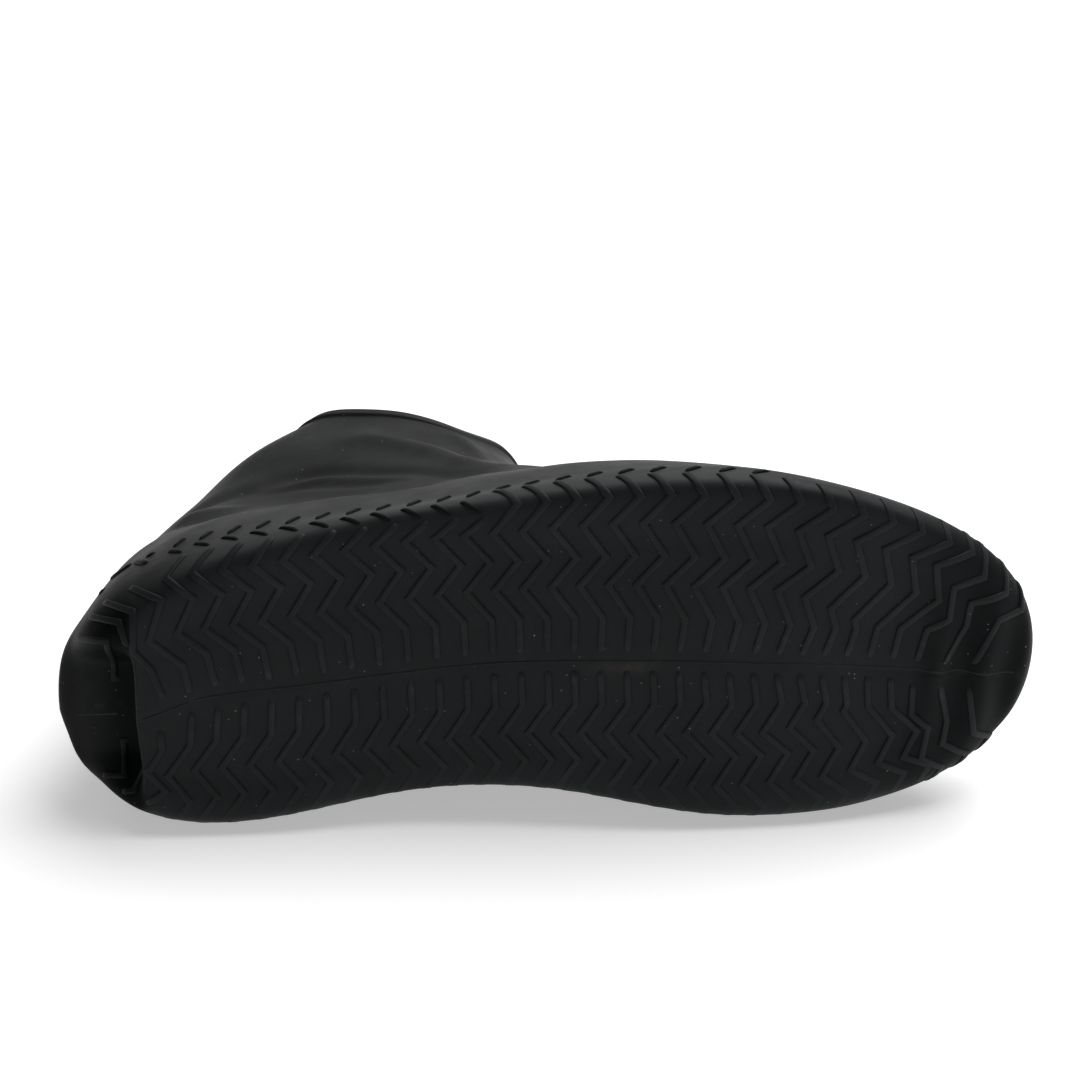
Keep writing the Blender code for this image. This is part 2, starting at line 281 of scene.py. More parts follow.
# ====================================================================== slack folds of the upper, and ripples
# A row for each fold: its ends and middle in x and h, how wide it is, and how far it stands out (plus) or in.
FOLD_COLUMNS = ("x0", "h0", "x1", "h1", "x2", "h2", "width", "out")
FOLDS = {
    "collar_ridge":  (84.0, 110.0, 110.0, 101.0, 137.0, 64.0, 5.0, 2.0),
    "collar_hollow": (94.0, 122.0, 119.0, 108.0, 137.0, 82.0, 7.5, -2.2),
    "pinch_ridge":   (118.0, 124.0, 128.0, 108.0, 136.0, 72.0, 3.0, 1.1),
    "long_trough":   (60.0, 93.0, 92.0, 88.0, 137.0, 57.0, 3.4, -1.4),
    "between_roll":  (66.0, 90.0, 92.0, 83.5, 122.0, 69.0, 3.0, 1.2),
    "lower_trough":  (54.0, 93.0, 82.0, 82.5, 112.0, 72.0, 3.4, -1.4),
    "long_roll":     (58.0, 82.0, 94.0, 73.0, 130.0, 50.0, 6.5, 1.5),
    "back_trough":   (42.0, 82.0, 52.0, 91.0, 66.0, 93.0, 3.5, -1.4),
    "heel_trough":   (33.0, 69.0, 48.0, 67.0, 68.0, 47.0, 3.5, -0.9),
    "heel_roll":     (36.0, 78.0, 50.0, 78.0, 74.0, 63.0, 4.5, 1.2),
    "low_trough":    (40.0, 57.0, 56.0, 53.0, 84.0, 43.0, 3.5, -1.1),
}


def fold_shift(x, h):
    """How far the slack upper stands out at x and h."""
    out = np.zeros_like(x)
    for row in FOLDS.values():
        v = dict(zip(FOLD_COLUMNS, row))
        best, where = np.full(x.shape, 1e9), np.zeros(x.shape)
        for k in range(24):
            u0, u1 = k / 24.0, (k + 1) / 24.0
            ends = []
            for u in (u0, u1):
                a, b, c = (1 - u) * (1 - 2 * u), 4 * u * (1 - u), u * (2 * u - 1)
                ends.append((a * v["x0"] + b * v["x1"] + c * v["x2"], a * v["h0"] + b * v["h1"] + c * v["h2"]))
            (ax, ah), (bx, bh) = ends
            L2 = (bx - ax) ** 2 + (bh - ah) ** 2
            w = np.clip(((x - ax) * (bx - ax) + (h - ah) * (bh - ah)) / L2, 0.0, 1.0)
            d = np.hypot(x - ax - w * (bx - ax), h - ah - w * (bh - ah))
            near = d < best
            best, where = np.where(near, d, best), np.where(near, u0 + (u1 - u0) * w, where)
        fade = smooth(0.0, 0.35, where) * (1.0 - 0.8 * smooth(0.78, 1.0, where))
        out += v["out"] * np.exp(-(best / v["width"]) ** 2) * fade
    return out


def below_rim(x, h):
    """How far a point of the shaft is below the collar's rim."""
    s = np.linspace(0.0, 1.0, 60)
    xr, _, hr = ring("collar", s, 1.0)
    return np.interp(x, xr, hr) - h


def slack(P):
    """Folds of the upper, soft waves of its wall, and the ripples of the toe."""
    x, h, t = P[..., 0], P[..., 1], P[..., 2]
    side = np.where(t >= 0, 1.0, -1.0)
    upper = smooth(34.0, 52.0, h) * smooth(6.0, 22.0, np.abs(t))
    push = fold_shift(x, h) * np.where(t >= 0, 1.0, 0.75) * smooth(1.0, 11.0, below_rim(x, h))
    waves = (0.30 * np.sin(x / 9.1 + 0.8 * side + h / 31.0) * np.sin(h / 12.7 + 0.6)
             + 0.20 * np.sin(x / 5.3 - h / 8.9 + 1.9 * side))
    t = t + side * upper * (push + waves)
    toe = smooth(250.0, 259.0, x) * (1.0 - smooth(284.0, 291.0, x)) * (1.0 - smooth(22.0, 34.0, h))
    toe = toe * np.exp(-((P[..., 2] - 1.0) / 21.0) ** 2)
    h = h - toe * 1.5 * np.cos((x - 260.0) * 2.0 * math.pi / 14.7 + 0.012 * P[..., 2])
    sole = (1.0 - smooth(12.0, 24.0, h)) * smooth(30.0, 60.0, x) * (1.0 - smooth(235.0, 262.0, x))
    h = h + sole * (0.35 * np.sin(x / 17.0 + 0.4) * np.cos(P[..., 2] / 21.0) + 0.22 * np.sin(x / 9.0 + P[..., 2] / 14.0))
    return np.stack([x, h, t], -1)


def place(P):
    """From the shoe's frame to the floor, in the frame of the solid, in millimetres."""
    P = lay_down(push_heel_in(slack(P), SHARP_TURN, SHARP_FADE))
    P[..., 2] = np.maximum(P[..., 2] + LIFT, 0.0)
    return P - MIDDLE


# ====================================================================== mesh helpers
def mesh_object(name, verts_mm, faces, marks=None):
    mesh = bpy.data.meshes.new(name)
    mesh.from_pydata((np.asarray(verts_mm) * MM).tolist(), [], [list(map(int, f)) for f in faces])
    for key, values in (marks or {}).items():
        mesh.attributes.new(key, "FLOAT", "POINT").data.foreach_set("value", np.asarray(values, np.float32))
    mesh.shade_smooth()
    obj = bpy.data.objects.new(name, mesh)
    bpy.context.scene.collection.objects.link(obj)
    return obj


# ====================================================================== shell
FINE_AROUND = 240
FINE_SPLITS = {"sole": 40, "welt": 9, "wall": 9, "low": 10, "vamp": 12, "instep": 15, "throat": 16, "collar": 17}
RIM_KNOTS = (9.865, 9.88, 9.895, 9.91, 9.95, 9.975)   # rows that shape the bead
RIM_BEAD = 0.95                                      # how far it stands out here
INNER_SPLITS = {"sole": 12, "welt": 4, "wall": 4, "low": 5, "vamp": 5, "instep": 5, "throat": 6, "collar": 8}


def wall_of(knot):
    return SOLE_WALL + (UPPER_WALL - SOLE_WALL) * smooth(3.4, 5.0, knot) + (RIM_WALL - UPPER_WALL) * bead(knot)


def laid(around, splits, extra=()):
    P0, knot, quads, rim = outer_surface(around, splits, extra)
    P = place(P0)
    n = normals(P, quads)
    if np.sum(n[:, 1] * (knot < 2.0)) > 0:             # the sole faces away from the collar
        quads, n = quads[:, ::-1], -n
    P = P + n * (RIM_BEAD * smooth(9.868, 9.902, knot))[:, None]
    P[:, 2] = np.maximum(P[:, 2], 0.0)
    return P0, P, knot, quads, rim, normals(P, quads)


def build_shell():
    P0, P, knot, quads, rim, n = laid(FINE_AROUND, FINE_SPLITS, RIM_KNOTS)
    Q0, Q, kin, qin, rim_in, nin = laid(FINE_AROUND, INNER_SPLITS)
    inner = Q - nin * wall_of(kin)[:, None]
    inner[:, 2] = np.maximum(inner[:, 2], 0.6)
    # round lip between the outer and the inner wall
    a, b = P[rim], inner[rim_in]
    mid, across = (a + b) / 2, (a - b) / 2
    up = np.cross(across, np.roll(P[rim], -1, 0) - np.roll(P[rim], 1, 0))
    up = up / np.linalg.norm(up, axis=1, keepdims=True) * np.linalg.norm(across, axis=1, keepdims=True)
    away = P[rim].mean(0) - P[knot < 8.5].mean(0)
    if np.sum(up @ away) < 0:
        up = -up
    lip = [mid + across * math.cos(f) + up * math.sin(f) for f in np.linspace(0, math.pi, 8)[1:-1]]
    m, count = len(rim), len(P)
    verts = [P, inner] + lip
    base = count + len(inner)
    loops = [rim] + [base + k * m + np.arange(m) for k in range(len(lip))] + [count + rim_in]
    faces = [quads, qin[:, ::-1] + count]
    for r0, r1 in zip(loops, loops[1:]):
        f = np.stack([r0, np.roll(r0, -1), np.roll(r1, -1), r1], -1)
        edge = set(map(tuple, np.stack([quads[:, [0, 1, 2, 3]].ravel(), quads[:, [1, 2, 3, 0]].ravel()], -1).tolist()))
        faces.append(f if (int(rim[1]), int(rim[0])) in edge else f[:, ::-1])
    V = np.concatenate(verts)
    # masks: painted shade of the bare sole, stains, dust that settles on the sole
    x0, h0, t0 = P0.T
    # painted shade on the bare sole, fading out up its edge
    sole_shade = np.zeros(len(V))
    sole_shade[:count] = 1.0 - smooth(0.5, 8.0, h0 - ground(x0))
    stain = np.zeros(len(V))
    stain[:count] = (np.exp(-((x0 - 170.5) / 5.0) ** 2 - ((t0 + 1.0) / 1.8) ** 2) + 0.5 * np.exp(-((x0 - 163.0) / 7.0) ** 2 - ((t0 + 1.2) / 1.6) ** 2)) * (h0 < 12.0)
    seam = np.zeros(len(V))
    seam[:count] = np.exp(-((t0 - tread_centre(x0)) / 1.3) ** 2) * (h0 < 30.0)
    # painted shade on the smooth patches behind the heel's fold and at the toe; the same mask also lowers their shine
    patch_shade = np.zeros(len(V))
    fold = RIDGE_X + RIDGE_LEAN * t0
    bent = np.arctan2(np.maximum((fold - x0) / fold, 1e-9), 1.0 - h0 / DENT_TOP) / (math.pi / 2)
    deep = 1.0 - 0.55 * smooth(0.35, 0.85, bent)        # most of all in the recess next to the fold
    behind = (1.0 - smooth(fold - 3.0, fold + 1.5, x0)) * (1.0 - smooth(30.0, 41.0, np.abs(t0 - 1.0))) * (1.0 - smooth(30.0, 58.0, h0)) * deep
    patch_shade[:count] = np.maximum(behind, 0.62 * smooth(238.0, 270.0, x0) * (1.0 - smooth(22.0, 36.0, h0)))
    # painted highlight: a lit band along the wall of the top side, brightest just above the sole's edge
    lit_band, up = np.zeros(len(V)), h0 - ground(x0)
    lit_band[:count] = 0.75 * smooth(0.3, 3.5, up) * (1.0 - smooth(6.0, 15.0, up)) + 0.26 * smooth(4.0, 14.0, up) * (1.0 - smooth(28.0, 48.0, up))
    lit_band[:count] *= smooth(5.0, 20.0, t0) * smooth(30.0, 65.0, x0) * (1.0 - smooth(185.0, 225.0, x0))
    obj = mesh_object("cover_shell", V, np.concatenate(faces), {"sole": sole_shade, "stain": stain, "seam": seam, "patch_shade": patch_shade, "lit_band": lit_band})
    return obj, P0, P, knot, quads


# ====================================================================== tread
# Zigzag ribs in pairs, left and right of the centre line.  A row for each station along the sole: how far
# the ribs fan out, the size of the pattern across, how far one half is shifted against the other, and how
# much the wider top side is stretched beyond the inner strokes.
TREAD_COLUMNS = ("centre", "fan", "size", "skew", "stretch")
STRETCH_FROM, STRETCH_TO = 15.0, 44.0
TREAD = (
    (33.0, -9.5, 1.00, 0.13, 0.0),
    (44.0, -7.5, 1.00, 0.12, 0.0),
    (56.0, -6.0, 1.00, 0.11, 0.0),
    (95.0, -0.4, 1.00, 0.05, 0.0),
    (145.0, 1.2, 1.00, 0.015, 0.02),
    (176.0, 3.7, 1.00, 0.015, 0.10),
    (205.0, 10.0, 0.955, 0.01, 0.16),
    (225.0, 17.5, 0.875, 0.0, 0.20),
    (238.0, 25.0, 0.77, -0.03, 0.32),
    (246.0, 28.0, 0.71, -0.05, 0.40),
    (255.0, 30.0, 0.62, -0.06, 0.45),
)
# corners of one rib: distance out from the centre line, and which way the zigzag swings
CORNERS = (13.5, 22.3, 31.0, 39.6, 48.2, 57.0, 65.5)
ZIG = (0, -1, 0, -1, 0, -1, 0)
SWING = 6.8
FIRST_RIB, LAST_RIB = 42.3, 249.0
PITCH_TABLE = ((42.0, 7.6), (105.0, 8.35), (122.0, 8.0), (154.0, 7.6), (170.0, 7.6), (191.0, 7.2), (221.0, 6.6), (240.0, 7.0))   # place, pitch
# the separate dashes of the top side's wall: offsets along the shoe and distances out, at the heel and at the waist
DASHES = {
    "low": (((-1.5, 50.0), (-6.5, 56.5)), ((-1.8, 46.5), (-7.6, 50.5))),
    "up":  (((-4.8, 58.5), (-1.5, 65.0)), ((-5.8, 53.5), (-2.6, 61.0))),
}
STROKE_END = (48.2, 45.4)              # outer end of the joined strokes of that side, at the heel and at the waist
JOINED_FROM = 137.0                    # from here on the lower dash is joined to the rib
RIB_IN = (0.15, 2.7)                   # inner end of a rib

# the ribs that frame the smooth patches of the toe and the heel: corners as x, h, t
TOE_RIBS = (
    ((253.8, 6.5, 3.2), (255.0, 7.0, 13.4), (260.9, 8.4, 17.2), (260.6, 8.2, 27.0), (268.5, 10.9, 30.5), (265.0, 18.1, 38.0)),
    ((262.0, 8.3, 3.2), (266.6, 9.7, 15.0), (266.6, 9.6, 22.2), (275.8, 14.0, 25.7), (272.0, 19.8, 33.5)),
    ((270.8, 10.5, 3.4), (275.5, 12.0, 17.9), (281.9, 16.8, 20.2), (278.7, 21.1, 27.5)),
)
HEEL_RIBS = {
    "top_first":      ((42.5, 0.5, 5.5), (42.5, 0.5, 14.5), (34.0, 0.5, 24.0), (40.5, 0.5, 35.5), (30.5, 9.0, 38.5)),
    "top_first_dash": ((36.0, 19.0, 41.0), (30.5, 30.0, 38.5)),
    "top_first_up":   ((34.5, 27.5, 40.0), (38.5, 27.5, 41.0)),
    "top_last_up":    ((20.5, 39.0, 32.0), (29.5, 31.0, 38.0)),
    "top_end_dash":   ((16.5, 30.5, 30.5), (19.5, 31.5, 32.5)),
    "top_second":     ((34.5, 0.5, 5.5), (33.0, 0.5, 15.0), (28.5, 0.5, 22.0), (31.0, 0.5, 34.0), (20.5, 14.5, 34.0)),
    "top_third":      ((26.5, 0.5, 23.0), (26.0, 1.0, 31.5), (15.0, 16.5, 30.0)),
    "top_last":       ((8.0, 2.0, 9.0), (5.5, 3.5, 9.0), (20.5, 1.0, 26.5), (9.5, 14.5, 24.5)),
    "low_second":     ((31.5, 0.5, -3.5), (30.5, 0.5, -9.5), (24.5, 0.5, -15.5), (28.0, 0.5, -22.5), (21.0, 0.5, -25.0)),
    "low_third":      ((19.5, 1.0, -16.0), (15.5, 1.5, -22.0), (12.0, 4.5, -22.5)),
    "low_last":       ((8.5, 2.0, -10.0), (6.5, 3.0, -10.5), (11.0, 3.0, -19.0), (6.5, 12.5, -19.5)),
}
# painted shade for the heel's ribs behind the fold and for its dashes
HEEL_RIB_SHADE = {"top_second": 0.2, "top_third": 0.6, "top_last": 0.8, "low_third": 0.8, "low_last": 0.8,   # behind the fold, and dashes
             "top_first_dash": 1.0, "top_first_up": 1.0, "top_last_up": 1.0, "top_end_dash": 1.0}
FACING = Vector((0.03, 0.92, -0.40)).normalized()   # the way in which the folded heel is looked at square on
HEEL_LINE = ((42.5, 0.5, 3.2), (33.0, 0.5, 1.5), (28.0, 0.5, 0.8), (25.5, 0.5, 0.0))   # parting line to the fold
PATCH_LINE = ((6.0, 3.0, -2.0), (2.0, 9.0, -2.0), (0.0, 22.0, -1.5))                   # and behind it, up the patch


def tread_centre(x):
    return 1.0 + 2.3 * np.exp(-((x - 46.0) / 20.0) ** 2) - 0.8 * np.exp(-((x - 110.0) / 28.0) ** 2)


def rib_places():
    c, out = FIRST_RIB, []
    while c < LAST_RIB:
        out.append(c)
        c += float(np.interp(c, [p[0] for p in PITCH_TABLE], [p[1] for p in PITCH_TABLE]))
    return out


def rib_corners(c, side):
    rows = np.array(TREAD)
    fan, size, skew, stretch = (np.interp(c, rows[:, 0], rows[:, k]) for k in (1, 2, 3, 4))
    a = math.radians(fan)
    turned = lambda along_it, d: [d * math.sin(a) + along_it * math.cos(a), d * math.cos(a) - along_it * math.sin(a)]
    set_out = lambda rows: np.stack([c + rows[:, 0] + side * skew * rows[:, 1], rows[:, 1] + side * tread_centre(c)], -1)
    waist = float(smooth(50.0, 100.0, c))
    out = []
    for k, (d, z) in enumerate(zip(CORNERS, ZIG)):
        d = d * size
        if side > 0:
            d = d + stretch * max(0.0, min(d, STRETCH_TO) - STRETCH_FROM)
            if k == 4 and c < JOINED_FROM:
                d = STROKE_END[0] + (STROKE_END[1] - STROKE_END[0]) * waist
        out.append(turned(z * SWING, d))
    w = smooth(212.0, 242.0, c)
    for k in (0, 1):
        out[k] = [out[k][0] + (1.5 - out[k][0]) * w, out[k][1] + (12.5 - out[k][1]) * w]
    dashes = {}
    for name, (heel, mid) in DASHES.items():
        rows_of = np.array(heel) + (np.array(mid) - np.array(heel)) * waist
        dashes[name] = set_out(np.array([turned(*r) for r in rows_of]))
    return set_out(np.array([list(RIB_IN)] + out)), dashes


class Skin:
    """Points of the shoe's outer side from x and the distance b out from the centre line along the skin."""

    def __init__(self, side, ns=420, nq=240, step=0.5):
        s = (1 - np.cos(np.linspace(0, math.pi, ns + 1))) / 2
        R = along(rays(s, side), np.linspace(0, 7.6, nq)) * np.array([1.0, 1.0, side])
        self.side, self.step, self.b = side, step, np.arange(0.0, 100.0, step)
        self.x = np.arange(0.5, 289.6, step)
        self.t, self.h = np.zeros((2, len(self.x), len(self.b)))
        for i, x in enumerate(self.x):
            cut = [(np.interp(x, R[:, j, 0], R[:, j, 2]), np.interp(x, R[:, j, 0], R[:, j, 1]))
                   for j in range(nq) if R[0, j, 0] <= x <= R[-1, j, 0]]
            t, h = np.array(cut).T
            t, h = np.concatenate([[0.0], t]), np.concatenate([[h[0]], h])
            b = np.concatenate([[0.0], np.cumsum(np.hypot(np.diff(t), np.diff(h)))])
            self.t[i], self.h[i] = np.interp(self.b, b, t), np.interp(self.b, b, h)

    def at(self, x, b):
        f = np.clip((x - self.x[0]) / self.step, 0, len(self.x) - 1.001)
        g = np.clip(b / self.step, 0, len(self.b) - 1.001)
        i, j = f.astype(int), g.astype(int)
        u, v = f - i, g - j
        mix = lambda A: (A[i, j] * (1 - u) * (1 - v) + A[i + 1, j] * u * (1 - v) + A[i, j + 1] * (1 - u) * v + A[i + 1, j + 1] * u * v)
        return np.stack([x, mix(self.h), self.side * mix(self.t)], -1)


def zigzag(corners, step, clear):
    """Points along a path with sharp corners, none closer to a corner than clear."""
    C = np.asarray(corners, float)
    C = C[np.concatenate([[True], np.linalg.norm(np.diff(C, axis=0), axis=1) > 0.5])]
    path = [C[0]]
    for k, (p, q) in enumerate(zip(C, C[1:])):
        run = np.linalg.norm(q - p)
        a = min(clear, 0.4 * run) if k else 0.35
        b = min(clear, 0.4 * run) if k < len(C) - 2 else 0.35
        for r in np.linspace(a, run - b, max(3, int(round((run - a - b) / step)) + 1)):
            path.append(p + (q - p) * r / run)
        path.append(q)
    return np.array(path)


# cross-section of a rib: distance across and height over the skin
RIB_SECTION = ((-1.08, -0.35), (-0.99, 0.28), (-0.84, 0.54), (-0.58, 0.64), (0.58, 0.64), (0.84, 0.54), (0.99, 0.28), (1.08, -0.35))
DASH_SECTION = {"low": tuple((0.60 * o, z) for o, z in RIB_SECTION), "up": tuple((0.72 * o, z) for o, z in RIB_SECTION)}   # slimmer
LINE_SECTION = ((-0.45, -0.30), (-0.26, 0.12), (-0.10, 0.26), (0.10, 0.26), (0.26, 0.12), (0.45, -0.30))


class Strips:
    """Raised strips laid on the skin, gathered into one mesh."""

    def __init__(self, tree):
        self.tree, self.verts, self.faces, self.wear, self.top, self.dark = tree, [], [], [], [], []
        self.count = 0

    def add(self, path, section, wear, taper=1.8, cast=None, height=None, dark=0.0):
        if cast is None:
            near = [self.tree.find_nearest(Vector(p)) for p in path]
        else:                                              # laid on along one direction
            near = [self.tree.ray_cast(Vector(p) - 60.0 * cast, cast) for p in path]
            near = [n if n[0] is not None else self.tree.find_nearest(Vector(p)) for n, p in zip(near, path)]
        P = np.array([tuple(n[0]) for n in near])
        N = np.array([tuple(n[1]) for n in near])
        for _ in range(3):                                 # faceted normals, evened out along the strip
            N[1:-1] = N[:-2] + 2 * N[1:-1] + N[2:]
            N /= np.linalg.norm(N, axis=1, keepdims=True)
        T = np.diff(P, axis=0)
        T = np.concatenate([T[:1], T, T[-1:]])
        before, after = (np.cross(N, t) for t in (T[:-1], T[1:]))
        before, after = (v / np.linalg.norm(v, axis=1, keepdims=True) for v in (before, after))
        S = before + after
        S /= np.linalg.norm(S, axis=1, keepdims=True)
        S /= np.maximum(np.sum(S * before, axis=1, keepdims=True), 0.55)     # mitred corners
        run = np.concatenate([[0.0], np.cumsum(np.linalg.norm(np.diff(P, axis=0), axis=1))])
        full = np.sqrt(np.clip(np.minimum(run, run[-1] - run) / taper, 0.0, 1.0))
        rows, height = [], np.ones(len(P)) if height is None else height
        for o, z in section:
            z = np.where(z > 0, -0.3 + (z * height + 0.3) * full, z)
            rows.append(P + S * (o * (0.40 + 0.60 * full))[:, None] + N * z[:, None])
        n, m = len(P), len(section)
        V = np.stack(rows, 1).reshape(-1, 3)
        grid = self.count + np.arange(n * m).reshape(n, m)
        self.faces += np.stack([grid[:-1, :-1], grid[1:, :-1], grid[1:, 1:], grid[:-1, 1:]], -1).reshape(-1, 4).tolist()
        self.faces += [list(grid[0]), list(grid[-1][::-1])]
        self.faces += np.stack([grid[1:, 0], grid[:-1, 0], grid[:-1, -1], grid[1:, -1]], -1).tolist()
        self.verts.append(V)
        self.wear.append(np.repeat(wear, m))
        # how much painted shade the strip takes
        self.dark.append(np.repeat(np.zeros(n) + dark, m))
        self.top.append(np.tile([max(0.0, z) / 0.74 for _, z in section], n))
        self.count += n * m


def build_tread(P0, P, knot, quads):
    low = knot < 8.0
    keep = quads[np.all(low[quads], axis=1)]
    out = normals(P0, keep)
    if np.sum(out[low, 1] * (knot[low] < 2.0)) > 0:
        keep = keep[:, ::-1]
    tree = BVHTree.FromPolygons(P0.tolist(), keep.tolist())
    skin, strips = {1: Skin(1.0), -1: Skin(-1.0)}, Strips(tree)
    laid_strips = Strips(BVHTree.FromPolygons(P.tolist(), keep.tolist()))   # on the folded heel, as it lies

    def rib(path2, side, section=RIB_SECTION, **kw):
        path2 = zigzag(path2, 1.1, 1.25)
        path = skin[side].at(path2[:, 0], path2[:, 1])
        # lower relief round the lower edge, where the cover lies on it, and round the toe
        _, edge, _ = ring("feather", np.clip((path[:, 0] - 6.0) / 276.0, 0.01, 0.99), side)
        out = np.abs(path[:, 2]) / edge
        if side < 0:
            height = 1.0 - 0.85 * smooth(0.78, 0.96, out)
        else:
            height = 1.0 - 0.5 * smooth(0.85, 1.02, out) * smooth(205.0, 235.0, path[:, 0])
        strips.add(path, section, np.exp(-(path2[:, 1] / 9.0) ** 2), height=height, **kw)

    def rib_at(points):
        path = zigzag(points, 1.1, 1.25)
        strips.add(path, RIB_SECTION, np.exp(-(path[:, 2] / 9.0) ** 2), height=1.0 - 0.45 * smooth(22.0, 34.0, np.abs(path[:, 2])))

    for c in rib_places():
        for side in (1, -1):
            if side > 0 and c == FIRST_RIB:
                continue
            C, dashes = rib_corners(c, side)
            if c > 205.0:
                rib(C[:7], side)
                continue
            joined = 6 if c > JOINED_FROM else 5
            rib(C[:joined + 1], side)
            # the outer strokes are separate dashes on the side wall
            if joined == 5 and side > 0:
                for name, d in dashes.items():
                    rib(d, side, DASH_SECTION[name], taper=1.1, dark=1.0)
                continue
            if joined == 5:
                a, b = C[5], C[6]
                rib([a + (b - a) * 0.22, a + (b - a) * 0.95], side)
            a, b = C[6], C[7]
            rib([a + (b - a) * 0.08, a + (b - a) * 0.68], side, DASH_SECTION["up"], taper=1.1, dark=1.0)
    for row in TOE_RIBS:
        for side in (1, -1):
            rib_at(np.array(row) * np.array([1.0, 1.0, side]))
    for name, row in HEEL_RIBS.items():
        path = zigzag(place(np.array(row)), 1.1, 1.25)
        laid_strips.add(path, RIB_SECTION, np.zeros(len(path)), cast=FACING, dark=HEEL_RIB_SHADE.get(name, 0.0))
    # parting line of the mould along the centre of the sole, up the toe and up the heel's patch
    x = np.arange(42.0, 286.0, 0.9)
    strips.add(np.stack([x, ground(x), tread_centre(x)], -1), LINE_SECTION, np.full(len(x), 0.6))
    for row, low in ((HEEL_LINE, 1.0), (PATCH_LINE, 0.35)):
        path = zigzag(place(np.array(row)), 0.9, 0.5)
        laid_strips.add(path, LINE_SECTION, np.full(len(path), 0.6), cast=FACING, height=np.full(len(path), low))

    V = np.concatenate([place(np.concatenate(strips.verts))] + laid_strips.verts)
    V[:, 2] = np.maximum(V[:, 2], 0.0)
    faces = strips.faces + [[v + strips.count for v in f] for f in laid_strips.faces]
    marks = {key: np.concatenate(getattr(strips, key) + getattr(laid_strips, key)) for key in ("wear", "top", "dark")}
    return mesh_object("tread_ribs", V, faces, marks)


# ====================================================================== materials
def new_material(name):
    m = bpy.data.materials.new(name)
    m.use_nodes = True
    return m, m.node_tree.nodes, m.node_tree.links, m.node_tree.nodes["Principled BSDF"]


def noise(nodes, links, coords, scale, detail=3.0, rough=0.55):
    n = nodes.new("ShaderNodeTexNoise")
    n.inputs["Scale"].default_value = scale
    n.inputs["Detail"].default_value = detail
    n.inputs["Roughness"].default_value = rough
    links.new(coords, n.inputs["Vector"])
    return n.outputs["Fac"]


def ramp(nodes, links, source, stops):
    r = nodes.new("ShaderNodeValToRGB")
    e = r.color_ramp.elements
    while len(e) < len(stops):
        e.new(0.5)
    for el, (p, c) in zip(e, stops):
        el.position = p
        el.color = c if len(c) == 4 else tuple(c) + (1.0,)
    links.new(source, r.inputs["Fac"])
    return r.outputs["Color"]


def math_node(nodes, links, op, a, b):
    n = nodes.new("ShaderNodeMath")
    n.operation = op
    for k, v in enumerate((a, b)):
        if hasattr(v, "links"):
            links.new(v, n.inputs[k])
        else:
            n.inputs[k].default_value = v
    return n.outputs[0]


def mix_colour(nodes, links, fac, a, b):
    n = nodes.new("ShaderNodeMix")
    n.data_type = "RGBA"
    links.new(fac, n.inputs["Factor"])
    for key, v in ((6, a), (7, b)):
        if hasattr(v, "links"):
            links.new(v, n.inputs[key])
        else:
            n.inputs[key].default_value = v
    return n.outputs[2]


def mark(nodes, key):
    n = nodes.new("ShaderNodeAttribute")
    n.attribute_name = key
    return n.outputs["Fac"]


def grey(v, warm=-0.03):
    return (v * (1 + warm), v, v * (1 - 0.3 * warm), 1.0)


def dust_specks(nodes, links, coords, scale, share, radius):
    """Small round specks in a few cells of a scattered grid."""
    v = nodes.new("ShaderNodeTexVoronoi")
    v.feature = "F1"
    v.inputs["Scale"].default_value = scale
    links.new(coords, v.inputs["Vector"])
    split = nodes.new("ShaderNodeSeparateColor")
    links.new(v.outputs["Color"], split.inputs["Color"])
    chosen = math_node(nodes, links, "LESS_THAN", split.outputs["Red"], share)
    size = math_node(nodes, links, "MULTIPLY", split.outputs["Green"], radius)
    near = math_node(nodes, links, "LESS_THAN", v.outputs["Distance"], size)
    return math_node(nodes, links, "MULTIPLY", chosen, near)


